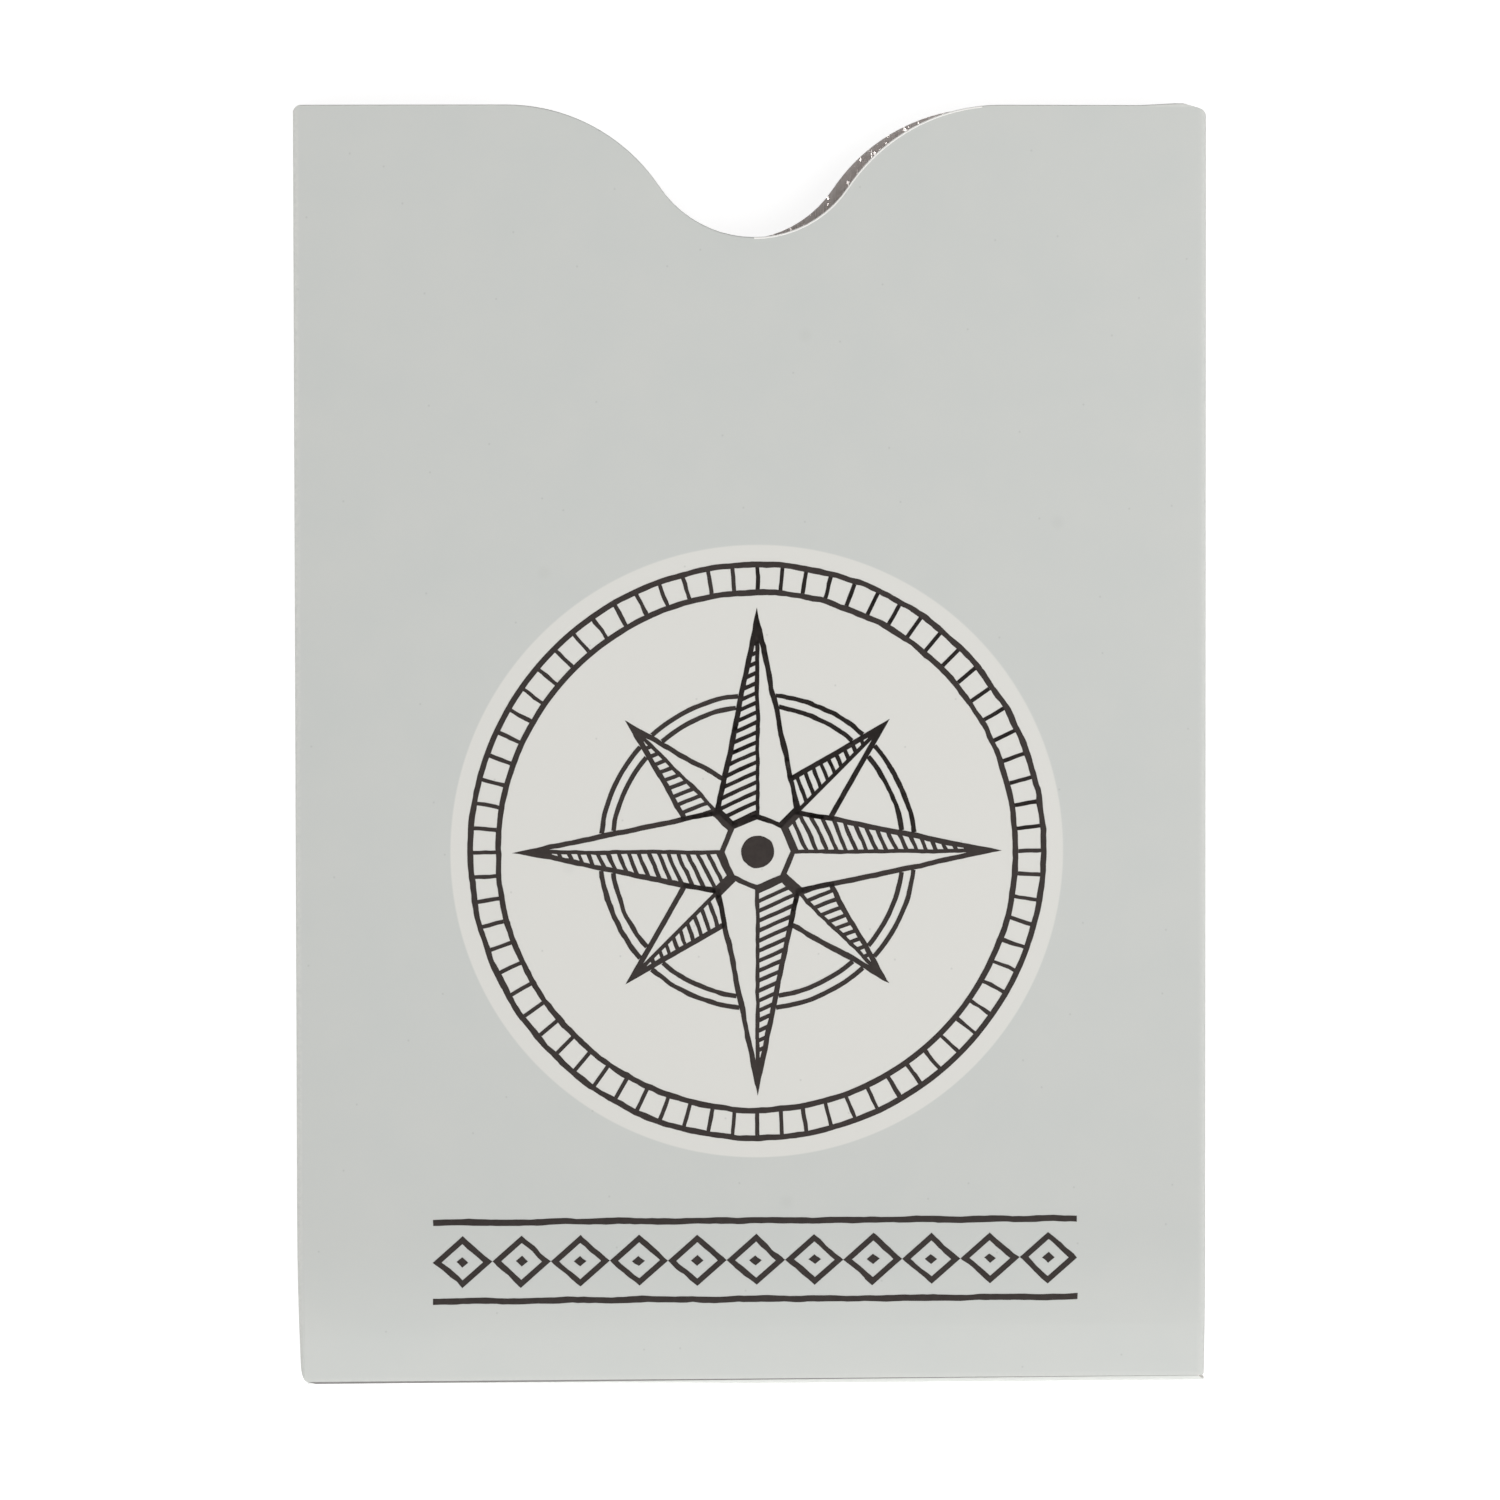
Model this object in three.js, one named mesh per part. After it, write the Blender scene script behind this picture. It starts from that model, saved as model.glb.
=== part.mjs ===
// Folded card sleeve with a foil lining that shields one travel document, in millimetres.
// It lies on its back with the printed front up (+Z) and its open mouth towards +Y.
// The origin is the middle of the back's outer face.
// One blank of card, laminated to foil, is creased into a front, a back, three spines and two
// glue flaps: the left spine joins front to back, the right spine carries the side flap inside the
// back, and the bottom spine carries the bottom flap inside the front.
import * as THREE from "three";

// Outside of the folded sleeve: the pocket takes a passport booklet of 88 by 125 mm
const WIDTH = 95;
const HEIGHT = 133;
const DEPTH = 5.9;

// Thickness of the plies and of the glue lines, and the film of adhesive between neighbours
const CARD = 0.35;
const FOIL = 0.1;
const GLUE = 0.08;
const FILM = 0.03;

// Creases: the outside radius of a fold, and the scored gap where a panel meets its spine
const CREASE_RADIUS = 0.75;
const SCORE = 0.02;

// Thumb notch: a round bottom that two shoulders of opposite curve carry up to the mouth
const NOTCH_DEPTH = 13.7;
const NOTCH_RADIUS = 11.8;
const SHOULDER_RADIUS = 19;
const FRONT_NOTCH_X = 0.2;
// The left fold lies a little off its score, so the back's notch misses the front's by this much
const BACK_NOTCH_MISS_X = -1.25;
const BACK_MOUTH_MISS_Y = -0.06;

// The front arches between its creases: its rise, how square the arch is across the width, and
// the distance from the bottom over which it comes up
const ARCH_RISE = 1.3;
const ARCH_SQUARENESS = 4;
const ARCH_RUN = 60;

// The glued bottom end is pressed flatter: how far the front lies lower there, and over what length
const PRESS_DROP = 1.4;
const PRESS_RUN = 14;

// Cut edges that stop short of the fold beside them
const FRONT_SHORT_LEFT = 0.1;
const FRONT_SHORT_RIGHT = 0.45;
const BACK_SHORT = 0.3;

// Glue flaps, the relief at the ends of the bottom spine, and the margin round the glue lines
const SIDE_FLAP_WIDTH = 12;
const SIDE_FLAP_FOOT = 1.5;
const BOTTOM_FLAP_WIDTH = 5;
const BOTTOM_FLAP_TAPER = 3;
const CORNER_RELIEF = 0.4;
const GLUE_MARGIN = 1.5;

// A slanted trim starts on the front's top right corner, crosses the right spine and runs on as
// the tapered end of the side flap
const TRIM_RUN = 2.5;
const TRIM_SLOPE = 0.27;

// Fineness of the curved surfaces
const ARC_STEPS = 6;
const CREASE_STEPS = 3;
const STRAIGHT_STEPS = 8;
const FRONT_ROWS = 18;
const SPINE_ROWS = 9;
const FLAP_COLUMNS = 20;
const FLAP_ROWS = 3;
const ROW_CROWDING = 1.8;

// Finishes
const PRINTED_CARD = { color: 0xc8cac7, roughness: 0.7, metalness: 0 };
const LINING_FOIL = { color: 0xa9a5a2, roughness: 0.35, metalness: 1 };
const DRY_GLUE = { color: 0xe8e3d3, roughness: 0.5, metalness: 0 };

// Places worked out from the dimensions above
const RIGHT = WIDTH / 2;
const BOTTOM = -HEIGHT / 2;
const MOUTH = HEIGHT / 2;
const SIDE_CREASE = RIGHT - CREASE_RADIUS;
const BOTTOM_CREASE = BOTTOM + CREASE_RADIUS;
const LAMINATE = CARD + FILM + FOIL;
const GLUED_GAP = FILM + GLUE + FILM;
const SIDE_FLAP_LOW = LAMINATE + GLUED_GAP;
const BOTTOM_FLAP_HIGH = DEPTH - LAMINATE - GLUED_GAP;
const BOTTOM_SPINE_LENGTH = WIDTH - 2 * (LAMINATE + CORNER_RELIEF);
const TRIM_AT_CREASE = (TRIM_RUN - CREASE_RADIUS) * TRIM_SLOPE;

const point = (x, y) => new THREE.Vector2(x, y);

// Where the mouth lies down each side spine: the left one leads to the back's mouth, and the right
// one is cut along the trim.
const leftMouth = (z) => MOUTH + BACK_MOUTH_MISS_Y * (1 - z / DEPTH);
const rightMouth = (z) => MOUTH - TRIM_AT_CREASE - (DEPTH - z) * TRIM_SLOPE;

// Evenly spaced points on a straight edge, both ends included.
const straight = (from, to, steps) => new THREE.LineCurve(from, to).getPoints(steps);

// Outlines, seen from the front

// Points along the mouth from left to right, dipping through the thumb notch at centreX.
function mouthEdge(left, right, centreX, mouthY) {
  const reach = NOTCH_RADIUS + SHOULDER_RADIUS;
  const climb = reach - NOTCH_DEPTH;
  const spread = Math.sqrt(reach ** 2 - climb ** 2);
  const lean = Math.atan2(climb, spread);
  const upright = Math.PI / 2;
  const shoulderY = mouthY - SHOULDER_RADIUS;
  const bottomY = mouthY - NOTCH_DEPTH + NOTCH_RADIUS;
  const notch = new THREE.Path();
  notch.absarc(centreX - spread, shoulderY, SHOULDER_RADIUS, upright, lean, true);
  notch.absarc(centreX, bottomY, NOTCH_RADIUS, lean - Math.PI, -lean, false);
  notch.absarc(centreX + spread, shoulderY, SHOULDER_RADIUS, Math.PI - lean, upright, true);
  const dip = notch.getPoints(ARC_STEPS);
  const before = straight(point(left, mouthY), dip[0], STRAIGHT_STEPS);
  const after = straight(dip.at(-1), point(right, mouthY), STRAIGHT_STEPS);
  return [...before.slice(0, -1), ...dip, ...after.slice(1)];
}

// The front runs from a slightly slanted bottom cut up to the mouth, with its corner trimmed.
function frontEdges() {
  const inner = SIDE_CREASE - SCORE;
  const upper = mouthEdge(-inner, RIGHT - TRIM_RUN, FRONT_NOTCH_X, MOUTH);
  upper.push(point(inner, MOUTH - TRIM_AT_CREASE));
  const slant = (FRONT_SHORT_RIGHT - FRONT_SHORT_LEFT) / (2 * inner);
  const lower = upper.map(({ x }) => point(x, BOTTOM + FRONT_SHORT_LEFT + slant * (x + inner)));
  return { lower, upper };
}

// The bottom flap is a low trapezium that is widest at its crease.
function bottomFlapEdges(margin) {
  const half = BOTTOM_SPINE_LENGTH / 2 - CORNER_RELIEF - margin;
  const narrow = half - BOTTOM_FLAP_TAPER;
  const crease = BOTTOM_CREASE + SCORE + margin;
  const edge = BOTTOM_CREASE + BOTTOM_FLAP_WIDTH - margin;
  const lower = straight(point(-half, crease), point(half, crease), FLAP_COLUMNS);
  const upper = straight(point(-narrow, edge), point(narrow, edge), FLAP_COLUMNS);
  return { lower, upper };
}

// The back's right edge is a bare cut that lies under the right spine.
function backOutline() {
  const left = SCORE - SIDE_CREASE;
  const right = RIGHT - BACK_SHORT;
  const low = BOTTOM_CREASE + SCORE;
  const notchX = FRONT_NOTCH_X + BACK_NOTCH_MISS_X;
  const upper = mouthEdge(left, right, notchX, MOUTH + BACK_MOUTH_MISS_Y);
  return new THREE.Shape([point(left, low), point(right, low), ...upper.reverse()]);
}

// The side flap tapers at both ends, in line with the trim at its mouth end.
function sideFlapOutline(margin) {
  const crease = SIDE_CREASE - SCORE - margin;
  const edge = SIDE_CREASE - SIDE_FLAP_WIDTH + margin;
  const foot = BOTTOM_CREASE + SIDE_FLAP_FOOT + margin;
  const head = rightMouth(SIDE_FLAP_LOW) - margin;
  const taper = (crease - edge) * TRIM_SLOPE;
  const corners = [
    point(crease, foot),
    point(crease, head),
    point(edge, head - taper),
    point(edge, foot + taper),
  ];
  return new THREE.Shape(corners);
}

// Sheets: an outline with a thickness, flat or following the front's shape

function flatSheet(outline, low, thickness) {
  const geometry = new THREE.ExtrudeGeometry(outline, { depth: thickness, bevelEnabled: false });
  return geometry.translate(0, 0, low);
}

// Height of the arch above the creases: none along the three closed edges.
function archAt(x, y) {
  const across = 1 - (Math.abs(x) / SIDE_CREASE) ** ARCH_SQUARENESS;
  const along = 1 - Math.exp(-(((y - BOTTOM_CREASE) / ARCH_RUN) ** 2));
  return ARCH_RISE * Math.max(across, 0) * along;
}

// Drop of the front and of its creases towards the bottom end.
function dropAt(y) {
  const share = Math.max((BOTTOM + PRESS_RUN - y) / PRESS_RUN, 0);
  return PRESS_DROP * share ** 2;
}

// A unit slab is drawn out between a lower and an upper edge, with its rows crowded towards the
// lower one, and shaped by the arch and the drop.
function archedSheet({ lower, upper }, rows, low, thickness) {
  const columns = lower.length - 1;
  const slab = new THREE.BoxGeometry(1, 1, 1, columns, rows, 1);
  const places = slab.attributes.position;
  for (let i = 0; i < places.count; i += 1) {
    const column = Math.round((places.getX(i) + 0.5) * columns);
    const share = Math.max(places.getY(i) + 0.5, 0) ** ROW_CROWDING;
    const { x, y } = lower[column].clone().lerp(upper[column], share);
    const z = low + (places.getZ(i) + 0.5) * thickness;
    places.setXYZ(i, x, y, z + archAt(x, y) - dropAt(y));
  }
  slab.computeVertexNormals();
  return slab;
}

// Spines: a channel section that bends round two creases, run along one closed edge.
// In an edge's own frame +X points out of the sleeve, +Z is up and the edge runs along Y.

function channelSection(low, high, radius, thickness) {
  const quarter = Math.PI / 2;
  const inner = radius - thickness;
  const section = new THREE.Shape();
  section.moveTo(0, low);
  section.absarc(0, low + radius, radius, -quarter, 0, false);
  section.absarc(0, high - radius, radius, 0, quarter, false);
  section.lineTo(0, high - thickness);
  section.absarc(0, high - radius, inner, quarter, 0, true);
  section.absarc(0, low + radius, inner, 0, -quarter, true);
  return section;
}

function channel(section, length, rows) {
  const settings = { depth: length, steps: rows, bevelEnabled: false, curveSegments: CREASE_STEPS };
  const geometry = new THREE.ExtrudeGeometry(section, settings);
  return geometry.translate(0, 0, -length / 2).rotateX(Math.PI / 2);
}

// A side spine's rows crowd towards the bottom, and its other end is drawn to the line that the mouth
// takes down it; end is 1 or -1, the side of the edge's own frame on which the mouth lies.
function sideChannel(section, end, mouthAt) {
  const geometry = channel(section, HEIGHT, SPINE_ROWS);
  const places = geometry.attributes.position;
  for (let i = 0; i < places.count; i += 1) {
    const share = Math.max((end * places.getY(i) - BOTTOM) / HEIGHT, 0) ** ROW_CROWDING;
    const y = THREE.MathUtils.lerp(BOTTOM, mouthAt(places.getZ(i)), share);
    places.setY(i, end * y);
  }
  return geometry;
}

// The upper crease of a spine drops with the front; placeY tells how far along the sleeve a point of
// the edge's own frame lies.
function dropCrease(geometry, placeY) {
  const places = geometry.attributes.position;
  for (let i = 0; i < places.count; i += 1) {
    const z = places.getZ(i);
    if (z > DEPTH / 2) {
      places.setZ(i, z - dropAt(placeY(places.getX(i), places.getY(i))));
    }
  }
  geometry.computeVertexNormals();
  return geometry;
}

const leftChannel = (section) => dropCrease(sideChannel(section, -1, leftMouth), (x, y) => -y);
const rightChannel = (section) => dropCrease(sideChannel(section, 1, rightMouth), (x, y) => y);

function bottomChannel(section) {
  return dropCrease(channel(section, BOTTOM_SPINE_LENGTH, 1), (x) => BOTTOM_CREASE - x);
}

// Scene graph

const sleeve = new THREE.Group();

function addPiece(parent, name, geometry, finish) {
  const piece = new THREE.Mesh(geometry, new THREE.MeshStandardMaterial(finish));
  piece.name = name;
  parent.add(piece);
}

// A card spine and the foil inside it, in a frame of their own on the crease line.
function addSpine(name, crease, turn, makeChannel, low, high) {
  const edge = new THREE.Group();
  edge.position.copy(crease);
  edge.rotation.z = turn;
  const inset = CARD + FILM;
  const cardSection = channelSection(low, high, CREASE_RADIUS, CARD);
  const foilSection = channelSection(low + inset, high - inset, CREASE_RADIUS - inset, FOIL);
  addPiece(edge, name, makeChannel(cardSection), PRINTED_CARD);
  addPiece(edge, name + "_foil", makeChannel(foilSection), LINING_FOIL);
  sleeve.add(edge);
}

// Back, lying on its printed side with the foil above the card
addPiece(sleeve, "back_panel", flatSheet(backOutline(), 0, CARD), PRINTED_CARD);
addPiece(sleeve, "back_foil", flatSheet(backOutline(), CARD + FILM, FOIL), LINING_FOIL);

// Left spine, from the back round to the front
const leftCrease = new THREE.Vector3(-SIDE_CREASE, 0, 0);
addSpine("left_spine", leftCrease, Math.PI, leftChannel, 0, DEPTH);

// Front, with the foil below the card
const front = frontEdges();
addPiece(sleeve, "front_panel", archedSheet(front, FRONT_ROWS, DEPTH - CARD, CARD), PRINTED_CARD);
addPiece(sleeve, "front_foil", archedSheet(front, FRONT_ROWS, DEPTH - LAMINATE, FOIL), LINING_FOIL);

// Right spine, from the front round to the side flap, which is glued on the back's foil
const rightCrease = new THREE.Vector3(SIDE_CREASE, 0, 0);
addSpine("right_spine", rightCrease, 0, rightChannel, SIDE_FLAP_LOW, DEPTH);
const sideFlap = sideFlapOutline(0);
const sideFlapFoilLow = SIDE_FLAP_LOW + CARD + FILM;
const sideGlue = flatSheet(sideFlapOutline(GLUE_MARGIN), LAMINATE + FILM, GLUE);
addPiece(sleeve, "side_flap", flatSheet(sideFlap, SIDE_FLAP_LOW, CARD), PRINTED_CARD);
addPiece(sleeve, "side_flap_foil", flatSheet(sideFlap, sideFlapFoilLow, FOIL), LINING_FOIL);
addPiece(sleeve, "side_glue_strip", sideGlue, DRY_GLUE);

// Bottom spine, from the back round to the bottom flap, which is glued under the front's foil
const bottomCrease = new THREE.Vector3(0, BOTTOM_CREASE, 0);
addSpine("bottom_spine", bottomCrease, -Math.PI / 2, bottomChannel, 0, BOTTOM_FLAP_HIGH);
const bottomFlap = bottomFlapEdges(0);
const bottomFlapLow = BOTTOM_FLAP_HIGH - CARD;
const bottomFoilLow = BOTTOM_FLAP_HIGH - LAMINATE;
const bottomGlueEdges = bottomFlapEdges(GLUE_MARGIN);
const bottomGlue = archedSheet(bottomGlueEdges, FLAP_ROWS, BOTTOM_FLAP_HIGH + FILM, GLUE);
addPiece(sleeve, "bottom_flap", archedSheet(bottomFlap, FLAP_ROWS, bottomFlapLow, CARD), PRINTED_CARD);
addPiece(sleeve, "bottom_flap_foil", archedSheet(bottomFlap, FLAP_ROWS, bottomFoilLow, FOIL), LINING_FOIL);
addPiece(sleeve, "bottom_glue_strip", bottomGlue, DRY_GLUE);

export default sleeve;
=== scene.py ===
"""Looks of a folded card sleeve with a foil lining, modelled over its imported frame, in metres.

The sleeve lies on its back with the printed front up (+Z) and its open mouth towards +Y.
"""
import math

import bmesh
import bpy
from mathutils import Matrix, Vector


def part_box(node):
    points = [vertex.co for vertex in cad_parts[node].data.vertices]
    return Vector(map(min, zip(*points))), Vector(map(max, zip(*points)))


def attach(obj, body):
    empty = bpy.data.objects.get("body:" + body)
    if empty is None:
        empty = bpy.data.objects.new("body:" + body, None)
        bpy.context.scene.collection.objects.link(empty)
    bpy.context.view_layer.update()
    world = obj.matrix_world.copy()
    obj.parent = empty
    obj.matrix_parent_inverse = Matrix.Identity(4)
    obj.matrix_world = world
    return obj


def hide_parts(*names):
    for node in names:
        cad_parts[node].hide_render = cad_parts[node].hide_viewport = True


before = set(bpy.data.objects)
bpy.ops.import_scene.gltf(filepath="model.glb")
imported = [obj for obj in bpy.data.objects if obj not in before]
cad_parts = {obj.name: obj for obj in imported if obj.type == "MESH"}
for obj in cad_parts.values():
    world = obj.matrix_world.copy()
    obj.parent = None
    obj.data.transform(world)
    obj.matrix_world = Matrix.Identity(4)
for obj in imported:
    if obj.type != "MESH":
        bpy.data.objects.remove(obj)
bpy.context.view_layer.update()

MM = 0.001
QUARTER = math.pi / 2
UP = Vector((0, 0, 1))

# Tolerances: of a cut, and of a line that counts as upright
HAIR = 0.0001 * MM
SLACK = 0.001 * MM

# Sizes that the frame gives: the folded outside, the plies and the height of the front's arch
left_low, left_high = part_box("left_spine")
back_low, back_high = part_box("back_panel")
back_foil_low, back_foil_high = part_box("back_foil")
front_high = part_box("front_panel")[1]
side_flap_low, side_flap_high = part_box("side_flap")
side_glue_low, side_glue_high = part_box("side_glue_strip")
bottom_flap_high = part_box("bottom_flap")[1]
RIGHT = -left_low.x
SIDE_CREASE = -left_high.x
CREASE_RADIUS = RIGHT - SIDE_CREASE
BOTTOM = left_low.y
MOUTH = left_high.y
HEIGHT = MOUTH - BOTTOM
DEPTH = left_high.z
BOTTOM_CREASE = BOTTOM + CREASE_RADIUS
CARD = back_high.z - back_low.z
FOIL = back_foil_high.z - back_foil_low.z
FILM = back_foil_low.z - back_high.z
PLY_INSET = CARD + FILM
GLUE = side_glue_high.z - side_glue_low.z
FLAP_TOP = DEPTH - PLY_INSET - FOIL - GLUE - 2 * FILM
ARCH_RISE = front_high.z - DEPTH

# The back's mouth, cut a little lower than in its solid
BACK_MOUTH_DROP = 0.08 * MM
BACK_MOUTH = back_high.y - BACK_MOUTH_DROP

# The front's arch: how square it is across the width, and the length over which it comes up; and the
# bottom end, which is pressed flatter
ARCH_SQUARENESS = 4
ARCH_RUN = 60 * MM
PRESS_DROP = 1.4 * MM
PRESS_RUN = 14 * MM

# Thumb notch: a round bottom that two shoulders of opposite curve carry up to the mouth
NOTCH_DEPTH = 13.7 * MM
NOTCH_RADIUS = 11.8 * MM
SHOULDER_RADIUS = 19 * MM
FRONT_NOTCH_X = 0.2 * MM
BACK_NOTCH_X = -1 * MM

# Bottom cut of the front: how far the card and the foil stop short of the bottom at the left and the right,
# and the height up to which the foil is painted a dull dark grey as the shadow line under the front's cut
# edge
CARD_SHORT = (0.16 * MM, 0.14 * MM)
FOIL_SHORT = (-0.11 * MM, 0.06 * MM)
PAINTED_SHADOW_STRIP = 0.6 * MM

# Mouth of the front: an edge that the die rolls over and bares at the right of the notch, where its steps
# have these slopes, an ear that stands up at the right, and a trim that slants on across the right fold
ROLLED_EDGE = 0.2 * MM
ROLLED_PROFILE = 0.65
ROLLED_STEPS = 3
BARED_STEEPEST = 0.1
BARED_FLATTEST = 0.9995
EAR_RUN = 3.5 * MM
EAR_LEVEL = 2.65 * MM
EAR_RISE = 0.2 * MM
EAR_STEPS = 3
EAR_LEVEL_STEPS = 2
TRIM_RUN = 2.5 * MM
TRIM_SLOPE = 0.27

# Ends of the right fold and the bottom fold, cut at a slant where they meet
FOLD_SHORT = 0.15 * MM
FOLD_SHORT_SLOPE = 0.3
FOLD_END_SLOPE = 0.35

# Rounding of the four corners, as the folds lie
TOP_LEFT_RADIUS = 0.8 * MM
TOP_RIGHT_RADIUS = 1 * MM
BOTTOM_LEFT_RADIUS = 1.7 * MM
BOTTOM_RIGHT_RADIUS = 0.25 * MM
CORNER_CUTS = 5

# The nip of the left fold towards the bottom, and the reach, the flap's taper and the bow of the bottom fold
PINCH = 0.42 * MM
PINCH_RUN = 17 * MM
BOTTOM_FOLD_LEFT = -46.5 * MM
BOTTOM_FOLD_RIGHT = 47.55 * MM
BOTTOM_FLAP_TAPER = 3 * MM
BOW = 0.5 * MM
BOW_LEFT_SHARE = 0.4

# The bottom flap shows through the front as a faint ridge above the bottom edge, most at the right
RIDGE = 0.014 * MM
RIDGE_RUN = 0.35 * MM
RIDGE_LOOPS = 7
RIDGE_END_SHARPNESS = 24

# Fineness of the sheets
ARC_STEPS = 20
STRAIGHT_STEPS = 14
CARD_ROWS = 48
FOIL_ROWS = 90
CREASE_STEPS = 8
FOLD_STEPS = 40
FLAP_CUTS = 24
SMOOTH_ANGLE = math.radians(35)

# Crinkle of the foil
CRINKLE_SIZE = 2.6 * MM
CRINKLE_HEIGHT = 0.035 * MM

# Print on the front: a pale disc, a wind rose on it and a border band below
DISC_CENTRE = Vector((0.48 * MM, -11.07 * MM, front_high.z))
DISC_RADIUS = 31.95 * MM
DISC_EDGE = 0.08 * MM
INK_TOP = 0.012 * MM
INK_THICKNESS = 0.0096 * MM


# Modelling by hand

def select(kind, test):
    """Selects the points, edges or faces that pass the test, on the piece in edit mode."""
    bpy.ops.mesh.select_mode(type=kind)
    bpy.ops.mesh.select_all(action="DESELECT")
    data = bpy.context.edit_object.data
    mesh = bmesh.from_edit_mesh(data)
    parts = {"VERT": mesh.verts, "EDGE": mesh.edges, "FACE": mesh.faces}[kind]
    for part in parts:
        if test(part):
            part.select_set(True)
    mesh.select_flush_mode()
    bmesh.update_edit_mesh(data)


def name_piece(name, finishes):
    """Names a new primitive, gives it its finishes and opens it in edit mode with all of it selected."""
    piece = bpy.context.object
    piece.name = name
    piece.data.name = name
    for finish in finishes:
        piece.data.materials.append(finish)
    bpy.ops.object.transform_apply(location=True, rotation=True, scale=True)
    bpy.ops.object.mode_set(mode="EDIT")
    bpy.ops.mesh.select_mode(type="VERT")
    bpy.ops.mesh.select_all(action="SELECT")
    return piece


def start_point(name, finishes, place):
    """A new piece of one selected point, in edit mode."""
    bpy.ops.object.select_all(action="DESELECT")
    bpy.ops.mesh.primitive_plane_add(size=MM, location=place)
    piece = name_piece(name, finishes)
    bpy.ops.mesh.merge(type="CENTER")
    bpy.ops.mesh.select_all(action="SELECT")
    return piece


def draw(steps, run):
    """Draws the selection on along a straight run, in equal steps."""
    step = tuple(Vector(run) / steps)
    for _ in range(steps):
        bpy.ops.mesh.extrude_region_move(TRANSFORM_OT_translate={"value": step})


def bend(steps, angle, centre, axis):
    """Draws the selection on round an axis; the spin tool counts angles the other way."""
    bpy.ops.mesh.spin(steps=steps, angle=-angle, center=centre, axis=axis)


def cut(place, outward):
    """Cuts away what lies outward of a plane."""
    bpy.ops.mesh.select_all(action="SELECT")
    bpy.ops.mesh.bisect(plane_co=place, plane_no=outward, clear_outer=True, threshold=HAIR)


def score(place, across):
    """Adds a line of points where a plane meets the piece."""
    bpy.ops.mesh.select_all(action="SELECT")
    bpy.ops.mesh.bisect(plane_co=place, plane_no=across, threshold=HAIR)


def paint(finish_index):
    """Gives the selected faces one of the piece's finishes."""
    bpy.context.edit_object.active_material_index = finish_index
    bpy.ops.object.material_slot_assign()


def round_corner(side_x, end_y, radius):
    """Whittles a corner of the outline to a radius, with cuts tangent to it."""
    across = math.copysign(1, side_x)
    along = math.copysign(1, end_y)
    centre = Vector((side_x - across * radius, end_y - along * radius, 0))
    for step in range(1, CORNER_CUTS + 1):
        angle = QUARTER * step / (CORNER_CUTS + 1)
        outward = Vector((across * math.cos(angle), along * math.sin(angle), 0))
        cut(centre + outward * radius, outward)


def apply_modifier(piece, kind, **settings):
    modifier = piece.modifiers.new(kind.lower(), kind)
    for name, value in settings.items():
        setattr(modifier, name, value)
    bpy.ops.object.modifier_apply(modifier=modifier.name)


def push(piece, direction, distance, share):
    """Moves each point along an axis by its share of a distance, as painted in a weight group."""
    group = piece.vertex_groups.new(name="push")
    for vertex in piece.data.vertices:
        group.add([vertex.index], share(vertex.co), "REPLACE")
    apply_modifier(
        piece, "DISPLACE", direction=direction, strength=distance, mid_level=0, vertex_group=group.name
    )
    piece.vertex_groups.clear()


def thicken(piece, outward, thickness):
    """Gives an open sheet its thickness on the inner side; the rim takes the second finish."""
    facing = sum((face.normal * face.area for face in piece.data.polygons), Vector())
    if facing.dot(outward) < 0:
        bpy.ops.object.mode_set(mode="EDIT")
        bpy.ops.mesh.select_all(action="SELECT")
        bpy.ops.mesh.flip_normals()
        bpy.ops.object.mode_set(mode="OBJECT")
    apply_modifier(
        piece, "SOLIDIFY", thickness=thickness, offset=-1, use_even_offset=True, material_offset_rim=1
    )


def seat(piece, slot, *nodes):
    """Smooths a finished piece and fixes it to the frame in place of its solids."""
    bpy.ops.object.shade_smooth_by_angle(angle=SMOOTH_ANGLE)
    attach(piece, "root")
    if nodes:
        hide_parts(*nodes)


# Finishes

def linear(hex_colour):
    """An sRGB hex colour as linear red, green, blue and alpha."""
    shares = [int(hex_colour[i : i + 2], 16) / 255 for i in (0, 2, 4)]
    curve = [s / 12.92 if s <= 0.04045 else ((s + 0.055) / 1.055) ** 2.4 for s in shares]
    return (*curve, 1)


def add(tree, kind, values, links):
    """Adds a shader node with its settings, its plain inputs and its links."""
    node = tree.nodes.new("ShaderNode" + kind)
    for name, value in values.items():
        if isinstance(name, str) and name in node.bl_rna.properties:
            setattr(node, name, value)
        else:
            node.inputs[name].default_value = value
    for name, source in links.items():
        tree.links.new(source, node.inputs[name])
    return node


def new_finish(name, **plain):
    """A material with the shader's plain values set; returns it, its tree, shader and coordinates."""
    material = bpy.data.materials.new(name)
    material.use_nodes = True
    tree = material.node_tree
    shader = tree.nodes["Principled BSDF"]
    for socket, value in plain.items():
        shader.inputs[socket.replace("_", " ")].default_value = value
    place = add(tree, "TexCoord", {}, {}).outputs["Object"]
    return material, tree, shader, place


# Inputs and output of the Mix node when it blends colours
FACTOR, FIRST, SECOND, BLEND = 0, 6, 7, 2

# Specks in the print: the spacing of their cells, their radius and strength, and the share that is full
SPECKS = ((10 * MM, 0.15 * MM, 0.24), (37 * MM, 0.9 * MM, 0.06))
SPECK_CORE = 0.3

# Where the print is lighter at the left, the right, the bottom and the mouth, partly rubbed and partly a
# painted highlight (painted stronger at the left, which the lamp leaves darker): the axis across the edge,
# the places where the lightening starts and where it is full, and its strength there
RUB_AND_PAINTED_HIGHLIGHT_EDGES = (
    ("X", -0.05 * MM - SIDE_CREASE, 0.25 * MM - RIGHT, 0.8),
    ("X", SIDE_CREASE - 0.2 * MM, RIGHT - 0.25 * MM, 0.4),
    ("Y", BOTTOM + 0.7 * MM, BOTTOM + 0.2 * MM, 0.3),
    ("Y", MOUTH - 0.25 * MM, MOUTH - 0.1 * MM, 0.45),
)


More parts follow.
